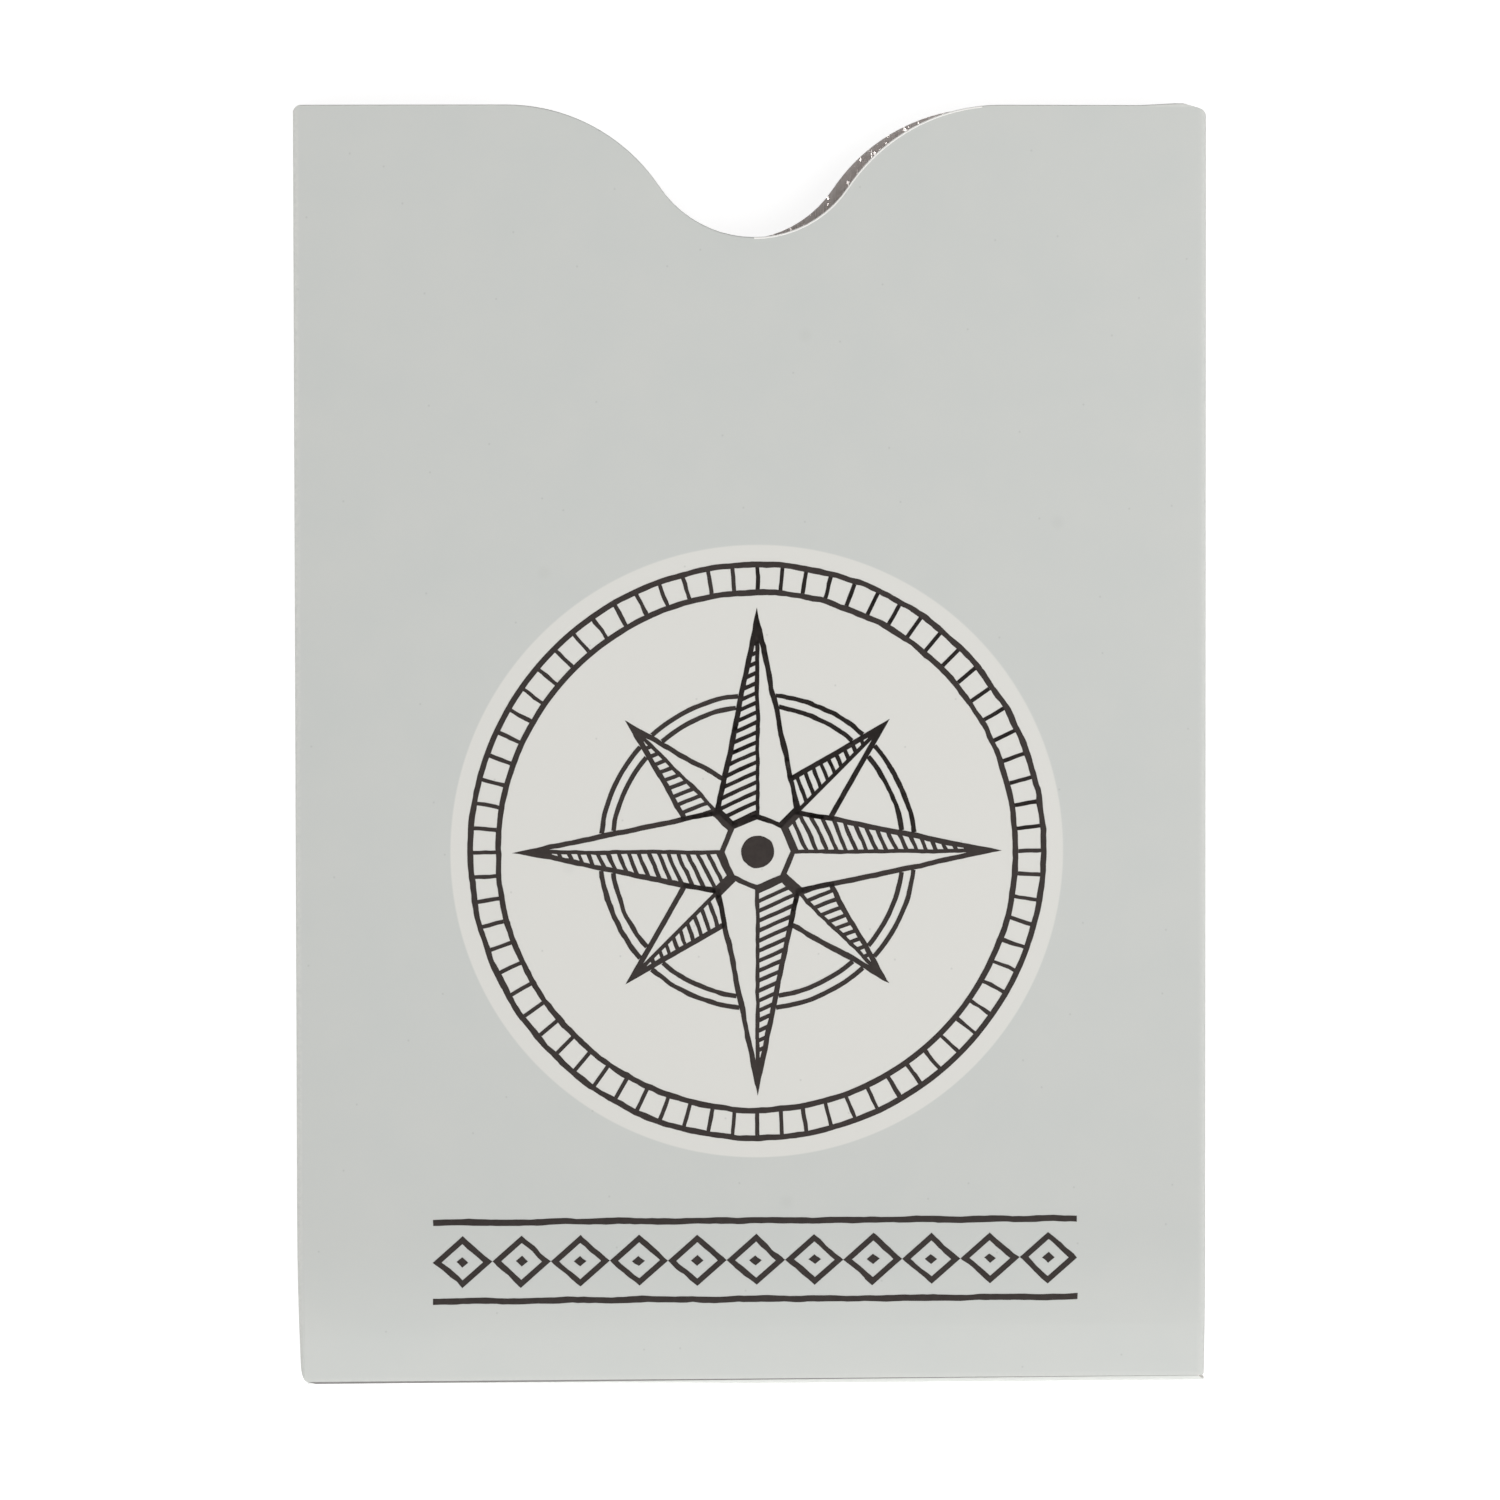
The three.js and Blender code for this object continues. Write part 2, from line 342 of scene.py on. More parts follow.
def printed_card(name, with_disc):
    """Matt coated board with a flat offset print: an even pale grey, a faint mottle where the ink lies
    unevenly on the fibres, a few specks, and folds and edges lighter towards the white of the board, partly
    from rub and partly as a painted highlight where light catches them."""
    card, tree, shader, place = new_finish(name, Specular_IOR_Level=0.25)
    mottle = add(tree, "TexNoise", {"Scale": 1 / (7 * MM), "Detail": 5}, {"Vector": place})
    grain = add(tree, "TexNoise", {"Scale": 1 / (0.45 * MM), "Detail": 3}, {"Vector": place})
    tint = add(
        tree, "Mix", {"data_type": "RGBA", FIRST: linear("c5c8c5"), SECOND: linear("cbccc8")},
        {FACTOR: mottle.outputs["Fac"]},
    )
    colour = tint.outputs[BLEND]
    if with_disc:
        away = add(tree, "VectorMath", {"operation": "DISTANCE", 1: DISC_CENTRE}, {0: place})
        inside = add(
            tree, "MapRange",
            {"From Min": DISC_RADIUS + DISC_EDGE, "From Max": DISC_RADIUS - DISC_EDGE},
            {"Value": away.outputs["Value"]},
        )
        paper = add(
            tree, "Mix", {"data_type": "RGBA", SECOND: linear("dad9d4")},
            {FACTOR: inside.outputs["Result"], FIRST: colour},
        )
        colour = paper.outputs[BLEND]
    for spacing, radius, strength in SPECKS:
        cells = add(
            tree, "TexVoronoi", {"voronoi_dimensions": "2D", "Scale": 1 / spacing}, {"Vector": place}
        )
        speck = add(
            tree, "MapRange",
            {"From Min": radius / spacing, "From Max": SPECK_CORE * radius / spacing, "To Max": strength},
            {"Value": cells.outputs["Distance"]},
        )
        marked = add(
            tree, "Mix", {"data_type": "RGBA", SECOND: linear("8d8f8c")},
            {FACTOR: speck.outputs["Result"], FIRST: colour},
        )
        colour = marked.outputs[BLEND]
    split = add(tree, "SeparateXYZ", {}, {0: place})
    # Lighter folds and edges: partly rub, partly a painted highlight standing in for light on them
    edge = None
    for axis, inner, outer, strength in RUB_AND_PAINTED_HIGHLIGHT_EDGES:
        side = add(
            tree, "MapRange", {"From Min": inner, "From Max": outer, "To Max": strength},
            {"Value": split.outputs[axis]},
        ).outputs["Result"]
        if edge is not None:
            side = add(tree, "Math", {"operation": "MAXIMUM"}, {0: edge, 1: side}).outputs[0]
        edge = side
    rub_and_painted_highlight = add(tree, "Math", {"operation": "MULTIPLY"}, {0: edge, 1: grain.outputs["Fac"]})
    worn_and_highlit = add(
        tree, "Mix", {"data_type": "RGBA", SECOND: linear("e6e5e0")},
        {FACTOR: rub_and_painted_highlight.outputs[0], FIRST: colour},
    )
    tree.links.new(worn_and_highlit.outputs[BLEND], shader.inputs["Base Color"])
    gloss = add(
        tree, "MapRange", {"To Min": 0.58, "To Max": 0.72}, {"Value": grain.outputs["Fac"]}
    )
    tree.links.new(gloss.outputs["Result"], shader.inputs["Roughness"])
    # The fibres are about 0.03 mm wide; they are drawn at 0.2 mm to show in the render
    fibre = add(
        tree, "TexNoise", {"Scale": 1 / (0.2 * MM), "Detail": 2}, {"Vector": place}
    )
    relief = add(
        tree, "Bump", {"Strength": 0.25, "Distance": 0.006 * MM}, {"Height": fibre.outputs["Fac"]}
    )
    tree.links.new(relief.outputs["Normal"], shader.inputs["Normal"])
    return card


def bare_board(name, dark, light):
    """Bare white fibre with no coating, rough and slightly uneven between a dark and a light tint; the
    die-cut rims take greyer tints, partly the die's dust and partly painted shade between the fibres.
    """
    board, tree, shader, place = new_finish(name, Roughness=0.9, Specular_IOR_Level=0.3)
    fibre = add(
        tree, "TexNoise", {"Scale": 1 / (0.3 * MM), "Detail": 4}, {"Vector": place}
    )
    tint = add(
        tree, "Mix", {"data_type": "RGBA", FIRST: linear(dark), SECOND: linear(light)},
        {FACTOR: fibre.outputs["Fac"]},
    )
    tree.links.new(tint.outputs[BLEND], shader.inputs["Base Color"])
    return board


def crinkled_foil():
    """Rolled aluminium foil under a thin film: a warm grey satin shine with faint streaks along the roll,
    broken by fine crinkles that flash where they turn to the light."""
    foil, tree, shader, place = new_finish("aluminium foil, laminated", Metallic=0.5)
    folds = add(
        tree, "TexVoronoi", {"feature": "DISTANCE_TO_EDGE", "Scale": 1 / (1.1 * MM)}, {"Vector": place}
    )
    rolled = add(tree, "VectorMath", {"operation": "MULTIPLY", 1: (1, 0.12, 1)}, {0: place})
    dents = add(
        tree, "TexNoise", {"Scale": 1 / (0.6 * MM), "Detail": 3}, {"Vector": rolled.outputs[0]}
    )
    tint = add(
        tree, "Mix", {"data_type": "RGBA", FIRST: linear("d9cfca"), SECOND: linear("efe8e5")},
        {FACTOR: dents.outputs["Fac"]},
    )
    tree.links.new(tint.outputs[BLEND], shader.inputs["Base Color"])
    gloss = add(
        tree, "MapRange", {"To Min": 0.18, "To Max": 0.36}, {"Value": dents.outputs["Fac"]}
    )
    tree.links.new(gloss.outputs["Result"], shader.inputs["Roughness"])
    fine = add(
        tree, "Bump", {"Strength": 0.06, "Distance": 0.08 * MM}, {"Height": dents.outputs["Fac"]}
    )
    sharp = add(
        tree, "Bump", {"Strength": 0.3, "Distance": 0.08 * MM},
        {"Height": folds.outputs["Distance"], "Normal": fine.outputs["Normal"]},
    )
    drawn = add(tree, "VectorMath", {"operation": "MULTIPLY", 1: (1, 0.5, 1)}, {0: place})
    facets = add(
        tree, "TexVoronoi", {"Scale": 1 / (0.17 * MM)}, {"Vector": drawn.outputs[0]}
    )
    lot = add(tree, "SeparateColor", {}, {0: facets.outputs["Color"]})
    bent = add(
        tree, "MapRange", {"From Min": 0.92, "From Max": 0.95}, {"Value": lot.outputs[0]}
    )
    aim = add(
        tree, "VectorMath", {"operation": "MULTIPLY_ADD", 1: (0, 0.16, 0.16), 2: (-0.31, 0.11, -0.08)},
        {0: facets.outputs["Color"]},
    )
    tilt = add(
        tree, "VectorMath", {"operation": "SCALE"}, {0: aim.outputs[0], "Scale": bent.outputs["Result"]}
    )
    tipped = add(
        tree, "VectorMath", {"operation": "ADD"}, {0: sharp.outputs["Normal"], 1: tilt.outputs[0]}
    )
    facing = add(tree, "VectorMath", {"operation": "NORMALIZE"}, {0: tipped.outputs[0]})
    tree.links.new(facing.outputs[0], shader.inputs["Normal"])
    return foil


def paint_foil_edge_shadow():
    """Edge of the foil along the front's bottom cut: a dull even grey, painted as the shadow line under the
    front's cut edge.
    """
    edge, tree, shader, place = new_finish("aluminium foil edge, painted shadow line", Roughness=0.8, Metallic=0.2)
    smear = add(
        tree, "TexNoise", {"Scale": 1 / (1.5 * MM), "Detail": 3}, {"Vector": place}
    )
    tint = add(
        tree, "Mix", {"data_type": "RGBA", FIRST: linear("7c7a79"), SECOND: linear("9a9897")},
        {FACTOR: smear.outputs["Fac"]},
    )
    tree.links.new(tint.outputs[BLEND], shader.inputs["Base Color"])
    return edge


def dried_glue():
    """Dispersion glue dried to a milky skin: soft gloss, slightly cloudy."""
    glue, tree, shader, place = new_finish("dispersion glue, dried", IOR=1.47)
    clouds = add(
        tree, "TexNoise", {"Scale": 1 / (2 * MM), "Detail": 4}, {"Vector": place}
    )
    tint = add(
        tree, "Mix", {"data_type": "RGBA", FIRST: linear("ded8c6"), SECOND: linear("efebdf")},
        {FACTOR: clouds.outputs["Fac"]},
    )
    tree.links.new(tint.outputs[BLEND], shader.inputs["Base Color"])
    gloss = add(
        tree, "MapRange", {"To Min": 0.35, "To Max": 0.6}, {"Value": clouds.outputs["Fac"]}
    )
    tree.links.new(gloss.outputs["Result"], shader.inputs["Roughness"])
    return glue


def printing_ink():
    """Offset ink, nearly black and a little warm: it sinks into the coating, so it is as matt as the
    card, and thin spots show slightly lighter."""
    ink, tree, shader, place = new_finish("offset ink, warm black", Specular_IOR_Level=0.25)
    thin = add(
        tree, "TexNoise", {"Scale": 1 / (0.7 * MM), "Detail": 5}, {"Vector": place}
    )
    tint = add(
        tree, "Mix", {"data_type": "RGBA", FIRST: linear("28211f"), SECOND: linear("3d3633")},
        {FACTOR: thin.outputs["Fac"]},
    )
    tree.links.new(tint.outputs[BLEND], shader.inputs["Base Color"])
    gloss = add(
        tree, "MapRange", {"To Min": 0.5, "To Max": 0.7}, {"Value": thin.outputs["Fac"]}
    )
    tree.links.new(gloss.outputs["Result"], shader.inputs["Roughness"])
    return ink


FRONT_PRINT = printed_card("coated board, printed front", True)
PLAIN_PRINT = printed_card("coated board, plain print", False)
# Die-cut rims: greyer than bare board, partly dust from the die and partly painted shade
DUSTY_CUT_BOARD_PAINTED_SHADE = bare_board("white board, die cut, dust and painted shade", "cfcdc8", "dbd9d4")
CHIPPED_BOARD = bare_board("white board, coating chipped off", "f2f0eb", "fbfaf7")
LINING_FOIL = crinkled_foil()
FOIL_EDGE_PAINTED_SHADOW = paint_foil_edge_shadow()
DRY_GLUE = dried_glue()
INK_BLACK = printing_ink()


# Front and back, drawn from the mouth down

def draw_mouth(left, right, notch_x, mouth_y, height, ear):
    """Draws the mouth from the left, down one shoulder, round the notch and up the other, to an ear that
    stands up slightly at the right."""
    reach = NOTCH_RADIUS + SHOULDER_RADIUS
    climb = reach - NOTCH_DEPTH
    spread = math.sqrt(reach**2 - climb**2)
    turn = QUARTER - math.atan2(climb, spread)
    shoulder_y = mouth_y - SHOULDER_RADIUS
    bottom_y = mouth_y - NOTCH_DEPTH + NOTCH_RADIUS
    arcs = (
        (-turn, (notch_x - spread, shoulder_y, height)),
        (2 * turn, (notch_x, bottom_y, height)),
        (-turn, (notch_x + spread, shoulder_y, height)),
    )
    draw(STRAIGHT_STEPS, (notch_x - spread - left, 0, 0))
    for angle, centre in arcs:
        bend(ARC_STEPS, angle, centre, UP)
    draw(STRAIGHT_STEPS, (right - notch_x - spread - EAR_RUN - EAR_LEVEL, 0, 0))
    draw(EAR_STEPS, (EAR_RUN, ear, 0))
    draw(EAR_LEVEL_STEPS, (EAR_LEVEL, 0, 0))


def is_upright(edge):
    """True for the lines that run from the mouth straight down to the bottom."""
    one, other = edge.verts
    return abs(one.co.x - other.co.x) < SLACK and edge.calc_length() > MM


def draw_down(bottom_y, rows):
    """Draws the mouth down to a straight bottom and divides the sheet into rows."""
    bpy.ops.mesh.select_all(action="SELECT")
    draw(1, (0, -HEIGHT, 0))
    bpy.ops.transform.resize(value=(1, 0, 1), center_override=(0, bottom_y, 0))
    select("EDGE", is_upright)
    bpy.ops.mesh.subdivide(number_cuts=rows - 1)


def arch_share(place):
    """Share of the arch's rise: none along the three closed edges."""
    across = 1 - (abs(place.x) / SIDE_CREASE) ** ARCH_SQUARENESS
    along = 1 - math.exp(-(((place.y - BOTTOM_CREASE) / ARCH_RUN) ** 2))
    return max(across, 0) * along


def press_share(place):
    """Share of the drop of the front and its creases at the bottom end."""
    share = min(max((BOTTOM + PRESS_RUN - place.y) / PRESS_RUN, 0), 1)
    return share**2 if place.z > DEPTH / 2 else 0


def ridge_share(place):
    """Share of the ridge that the bottom flap's free edge presses into the front."""
    away = (place.y - bottom_flap_high.y) / RIDGE_RUN
    across = min(max(place.x / bottom_flap_high.x, -1), 1)
    return math.exp(-away * away) * (1 + across) / 2 * (1 - across**RIDGE_END_SHARPNESS)


def shape_front(piece):
    """Gives a flat sheet at the front its arch and its drop."""
    push(piece, "Z", -PRESS_DROP, press_share)
    push(piece, "Z", ARCH_RISE, arch_share)


def front_sheet(name, finishes, top, thickness, rows, short):
    """The front with its notch, slanted bottom cut and trimmed corner."""
    piece = start_point(name, finishes, (-SIDE_CREASE, MOUTH, top))
    draw_mouth(-SIDE_CREASE, SIDE_CREASE, FRONT_NOTCH_X, MOUTH, top, EAR_RISE)
    draw_down(BOTTOM_CREASE - 2 * CREASE_RADIUS, rows)
    short_left, short_right = short
    slant = (short_right - short_left) / (2 * SIDE_CREASE)
    cut((-SIDE_CREASE, BOTTOM + short_left, top), (slant, -1, 0))
    cut((RIGHT - TRIM_RUN, MOUTH + EAR_RISE, top), (TRIM_SLOPE, 1, 0))
    round_corner(-RIGHT, BOTTOM, BOTTOM_LEFT_RADIUS)
    for loop in range(RIDGE_LOOPS):
        away = (loop - RIDGE_LOOPS // 2) * RIDGE_RUN / 2
        score((0, bottom_flap_high.y + away, top), (0, 1, 0))
    bpy.ops.object.mode_set(mode="OBJECT")
    push(piece, "Z", RIDGE, ridge_share)
    shape_front(piece)
    thicken(piece, UP, thickness)
    return piece


def back_sheet(name, finishes, top, rows):
    """The back with its notch, still without its thickness."""
    piece = start_point(name, finishes, (-SIDE_CREASE, BACK_MOUTH, top))
    draw_mouth(-SIDE_CREASE, back_high.x, BACK_NOTCH_X, BACK_MOUTH, top, 0)
    draw_down(BOTTOM_CREASE, rows)
    bpy.ops.object.mode_set(mode="OBJECT")
    return piece


def crinkle(piece):
    """Presses the foil's crinkles into the sheet."""
    ridges = bpy.data.textures.new(piece.name, "VORONOI")
    ridges.noise_scale = CRINKLE_SIZE
    ridges.weight_1 = -1
    ridges.weight_2 = 1
    apply_modifier(
        piece, "DISPLACE", texture=ridges, texture_coords="GLOBAL", direction="Z",
        strength=CRINKLE_HEIGHT, mid_level=0.5,
    )


def is_rolled_edge(edge):
    """True for the outer edge of a cut that the die has rolled over: the mouth and the notch."""
    middle = (edge.verts[0].co + edge.verts[1].co) / 2
    heights = sorted(abs(face.normal.z) for face in edge.link_faces)
    rim = len(heights) == 2 and heights[0] < 0.5 < heights[1]
    outer = rim and max(face.normal.z for face in edge.link_faces) > 0.5
    return outer and middle.y > 0 and -SIDE_CREASE < middle.x < RIGHT - TRIM_RUN


def is_bared(face):
    """True for the rolled edge up the right side of the notch, where the die bares the board."""
    middle = face.calc_center_median()
    sloped = BARED_STEEPEST < face.normal.z < BARED_FLATTEST
    at_right = FRONT_NOTCH_X < middle.x < 2 * NOTCH_RADIUS
    return sloped and at_right and middle.y > MOUTH - 2 * NOTCH_DEPTH


def front_card():
    finishes = (FRONT_PRINT, DUSTY_CUT_BOARD_PAINTED_SHADE, CHIPPED_BOARD)
    piece = front_sheet("front_panel_card", finishes, DEPTH, CARD, CARD_ROWS, CARD_SHORT)
    bpy.ops.object.mode_set(mode="EDIT")
    select("EDGE", is_rolled_edge)
    bpy.ops.mesh.bevel(
        offset=ROLLED_EDGE, segments=ROLLED_STEPS, profile=ROLLED_PROFILE, affect="EDGES", material=0
    )
    select("FACE", is_bared)
    paint(finishes.index(CHIPPED_BOARD))
    bpy.ops.object.mode_set(mode="OBJECT")
    seat(piece, "printed_card", "front_panel")
    apply_modifier(piece, "WEIGHTED_NORMAL", keep_sharp=True)
    return piece


def front_lining():
    top = DEPTH - PLY_INSET
    finishes = (LINING_FOIL, FOIL_EDGE_PAINTED_SHADOW)
    piece = front_sheet("front_panel_lining", finishes, top, FOIL, FOIL_ROWS, FOIL_SHORT)
    bpy.ops.object.mode_set(mode="EDIT")
    # The foil's bottom strip takes the painted shadow line under the front's cut edge
    score((0, BOTTOM + PAINTED_SHADOW_STRIP, 0), (0, 1, 0))
    select("FACE", lambda face: face.calc_center_median().y < BOTTOM + PAINTED_SHADOW_STRIP)
    paint(finishes.index(FOIL_EDGE_PAINTED_SHADOW))
    bpy.ops.object.mode_set(mode="OBJECT")
    crinkle(piece)
    seat(piece, "lining_foil", "front_foil")


def back_card():
    finishes = (PLAIN_PRINT, DUSTY_CUT_BOARD_PAINTED_SHADE)
    piece = back_sheet("back_panel_card", finishes, back_low.z, CARD_ROWS)
    thicken(piece, -UP, CARD)
    seat(piece, "printed_card", "back_panel")


def back_lining():
    piece = back_sheet("back_panel_lining", (LINING_FOIL,), back_foil_high.z, FOIL_ROWS)
    thicken(piece, UP, FOIL)
    crinkle(piece)
    seat(piece, "lining_foil", "back_foil")


# Folds: a channel bent round two creases, drawn with +X out of the sleeve and turned to its edge

def draw_fold(name, finishes, low, high, radius, start, length):
    """An open channel from the upper crease to the lower one, run along Y from start."""
    piece = start_point(name, finishes, (0, start, high))
    axis = (0, 1, 0)
    bend(CREASE_STEPS, QUARTER, (0, start, high - radius), axis)
    draw(1, (0, 0, low - high + 2 * radius))
    bend(CREASE_STEPS, QUARTER, (0, start, low + radius), axis)
    bpy.ops.mesh.select_all(action="SELECT")
    draw(FOLD_STEPS, (0, length, 0))
    return piece


def turn_fold(angle, crease):
    """Turns the fold about Z and carries it to its crease line."""
    bpy.ops.mesh.select_all(action="SELECT")
    bpy.ops.transform.rotate(value=-angle, orient_axis="Z", center_override=(0, 0, 0))
    bpy.ops.transform.translate(value=crease)


def pinch_share(place):
    """Share of the nip that flattens the left fold towards its bottom corner."""
    along = min(max((BOTTOM + PINCH_RUN - place.y) / PINCH_RUN, 0), 1)
    return along * along * min(max((-SIDE_CREASE - place.x) / CREASE_RADIUS, 0), 1)


def left_fold(name, finishes, inset, thickness, slot, node):
    radius = CREASE_RADIUS - inset
    piece = draw_fold(name, finishes, inset, DEPTH - inset, radius, -MOUTH, HEIGHT)
    turn_fold(math.pi, (-SIDE_CREASE, 0, 0))
    cut((0, MOUTH, DEPTH), (0, DEPTH, BACK_MOUTH - MOUTH))
    round_corner(-RIGHT, MOUTH, TOP_LEFT_RADIUS)
    round_corner(-RIGHT, BOTTOM, BOTTOM_LEFT_RADIUS)
    bpy.ops.object.mode_set(mode="OBJECT")
    push(piece, "X", PINCH, pinch_share)
    push(piece, "Z", -PRESS_DROP, press_share)
    thicken(piece, Vector((-1, 0, 0)), thickness)
    seat(piece, slot, node)


def right_fold(name, finishes, inset, thickness, slot, node):
    radius = CREASE_RADIUS - inset
    low = side_flap_low.z + inset
    piece = draw_fold(name, finishes, low, DEPTH - inset, radius, -MOUTH, HEIGHT)
    turn_fold(0, (SIDE_CREASE, 0, 0))
    trim_y = MOUTH + EAR_RISE - (TRIM_RUN - CREASE_RADIUS) * TRIM_SLOPE
    cut((SIDE_CREASE, trim_y, DEPTH), (0, 1, -TRIM_SLOPE))
    round_corner(RIGHT, trim_y, TOP_RIGHT_RADIUS)
    short_y = BOTTOM + FOLD_SHORT
    cut((SIDE_CREASE, short_y, DEPTH), (0, -1, FOLD_SHORT_SLOPE))
    round_corner(RIGHT, short_y, BOTTOM_RIGHT_RADIUS)
    bpy.ops.object.mode_set(mode="OBJECT")
    push(piece, "Z", -PRESS_DROP, press_share)
    thicken(piece, Vector((1, 0, 0)), thickness)
    seat(piece, slot, node)


def bottom_fold(name, finishes, inset, thickness, slot, node):
    """The bottom fold, which bows out a little, most from the middle to the right."""
    radius = CREASE_RADIUS - inset

    def bow_share(place):
        outward = min(max((BOTTOM_CREASE - place.y) / radius, 0), 1)
        across = min((place.x - BOTTOM_FOLD_LEFT) / BOTTOM_FOLD_RIGHT, 1)
        return outward * (BOW_LEFT_SHARE + (1 - BOW_LEFT_SHARE) * across**2)

    length = BOTTOM_FOLD_RIGHT - BOTTOM_FOLD_LEFT
    piece = draw_fold(name, finishes, inset, FLAP_TOP - inset, radius, BOTTOM_FOLD_LEFT, length)
    turn_fold(-QUARTER, (0, BOTTOM_CREASE, 0))
    cut((BOTTOM_FOLD_RIGHT, BOTTOM + FOLD_SHORT / 2, 0), (FOLD_END_SLOPE, 1, 0))
    bpy.ops.object.mode_set(mode="OBJECT")
    push(piece, "Y", -BOW, bow_share)
    push(piece, "Z", -PRESS_DROP, press_share)
    thicken(piece, Vector((0, -1, 0)), thickness)
    seat(piece, slot, node)


# Glue flaps and glue lines: plain tapered strips

def strip(name, finishes, low, high, top):
    """A flat strip over the plan of a solid, in edit mode."""
    bpy.ops.object.select_all(action="DESELECT")
    middle = (low + high) / 2
    bpy.ops.mesh.primitive_plane_add(size=1, location=(middle.x, middle.y, top))
    bpy.context.object.scale = (high.x - low.x, high.y - low.y, 1)
    return name_piece(name, finishes)


def side_strip(name, finishes, low, high, thickness, slot, node):
    """Tapers from the crease at the right to its free edge at the left."""
    piece = strip(name, finishes, low, high, high.z)
    taper = (high.x - low.x) * TRIM_SLOPE
    select("VERT", lambda vertex: vertex.co.x < (low.x + high.x) / 2)
    length = high.y - low.y
    centre = (low.x, (low.y + high.y) / 2, high.z)
    bpy.ops.transform.resize(value=(1, 1 - 2 * taper / length, 1), center_override=centre)
    bpy.ops.mesh.select_all(action="SELECT")
    bpy.ops.mesh.subdivide(number_cuts=FLAP_CUTS)
    bpy.ops.object.mode_set(mode="OBJECT")
    thicken(piece, UP, thickness)
    seat(piece, slot, node)


def bottom_strip(name, finishes, node, top, thickness, slot):
    """Tapers from the crease at the bottom to its free edge, and follows the front's shape."""
    low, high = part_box(node)
    piece = strip(name, finishes, low, high, top)
    select("VERT", lambda vertex: vertex.co.y > (low.y + high.y) / 2)
    narrow = 1 - 2 * BOTTOM_FLAP_TAPER / (high.x - low.x)
    bpy.ops.transform.resize(value=(narrow, 1, 1), center_override=(0, high.y, high.z))
    bpy.ops.mesh.select_all(action="SELECT")
    bpy.ops.mesh.subdivide(number_cuts=FLAP_CUTS)
    bpy.ops.object.mode_set(mode="OBJECT")
    shape_front(piece)
    thicken(piece, UP, thickness)
    seat(piece, slot, node)


# Print: a wind rose and a border band in one ink

ROSE_LINE = 0.55 * MM
ROSE_POINT = 25.5 * MM
ROSE_HALF_POINT = 19.5 * MM
ROSE_WAIST = 4.4 * MM
ROSE_HUB = 3.4 * MM
HUB_SIDES = 32
ROSE_SHARE = 0.17
ROSE_RINGS = (15.2 * MM, 16.4 * MM)
RING_LINE = 0.5 * MM
DIAL_INNER = 27.3 * MM
DIAL_OUTER = 29.6 * MM
DIAL_LINE = 0.6 * MM
DIAL_TICKS = 18
TICK_WIDTH = 0.42 * MM
HATCH_PITCH = 0.95 * MM
HATCH_LINE = 0.42 * MM
HATCH_SLANT = math.radians(24)
TREMORS = ((3.5 * MM, 0.3 * MM), (0.9 * MM, 0.14 * MM))
INK_GRID = 0.6 * MM

BAND_CENTRE = Vector((0.3 * MM, -53.75 * MM, 0))
BAND_WIDTH = 67.3 * MM
BAND_HEIGHT = 8.9 * MM
BAND_RULE = 0.65 * MM
LOZENGES = 11
LOZENGE_HEIGHT = 5.4 * MM
LOZENGE_LINE = 0.6 * MM
STUD_WIDTH = 1.32 * MM
STUD_HEIGHT = 1.1 * MM

# Finishes of a print while it is drawn: ink, and paper kept aside
INKED = 0
ASIDE = 1


def polar(radius, angle):
    """A point of the rose, with the angle turning clockwise from the top."""
    return Vector((radius * math.sin(angle), radius * math.cos(angle), 0))


def ink_shape(corners):
    """Adds a filled shape of ink and leaves it selected."""
    area = sum(a.x * b.y - b.x * a.y for a, b in zip(corners, corners[1:] + corners[:1]))
    ordered = corners if area > 0 else corners[::-1]
    bpy.ops.mesh.select_all(action="DESELECT")
    bpy.ops.mesh.primitive_circle_add(vertices=len(ordered), radius=MM, fill_type="NGON")
    data = bpy.context.edit_object.data
    mesh = bmesh.from_edit_mesh(data)
    added = next(face for face in mesh.faces if face.select)
    for vertex, corner in zip(added.verts, ordered):
        vertex.co = corner
    added.normal_update()
    bmesh.update_edit_mesh(data)


def ink_outline(corners, line):
    """Adds a closed line of ink and takes out the paper inside it."""
    ink_shape(corners)
    bpy.ops.mesh.inset(thickness=line, use_even_offset=True)
    bpy.ops.mesh.delete(type="FACE")


def ink_arc(radius, line, start, sweep):
    """Adds a curved line of ink, a strip bent round the middle of the rose."""
    steps = max(2, math.ceil(radius * sweep / INK_GRID))
    bpy.ops.mesh.select_all(action="DESELECT")
    bpy.ops.mesh.primitive_grid_add(x_subdivisions=steps, y_subdivisions=1, size=1)
    data = bpy.context.edit_object.data
    mesh = bmesh.from_edit_mesh(data)
    for vertex in [vertex for vertex in mesh.verts if vertex.select]:
        vertex.co = polar(radius + vertex.co.y * line, start + (vertex.co.x + 0.5) * sweep)
    bmesh.update_edit_mesh(data)


def is_aside(face):
    return face.material_index == ASIDE


def divide(direction, offset):
    """Cuts the paper kept aside along two edges of a line that lies across a direction."""
    for edge in (-0.5, 0.5):
        select("FACE", is_aside)
        place = direction * (offset + edge * HATCH_LINE)
        bpy.ops.mesh.bisect(plane_co=place, plane_no=direction, threshold=HAIR)


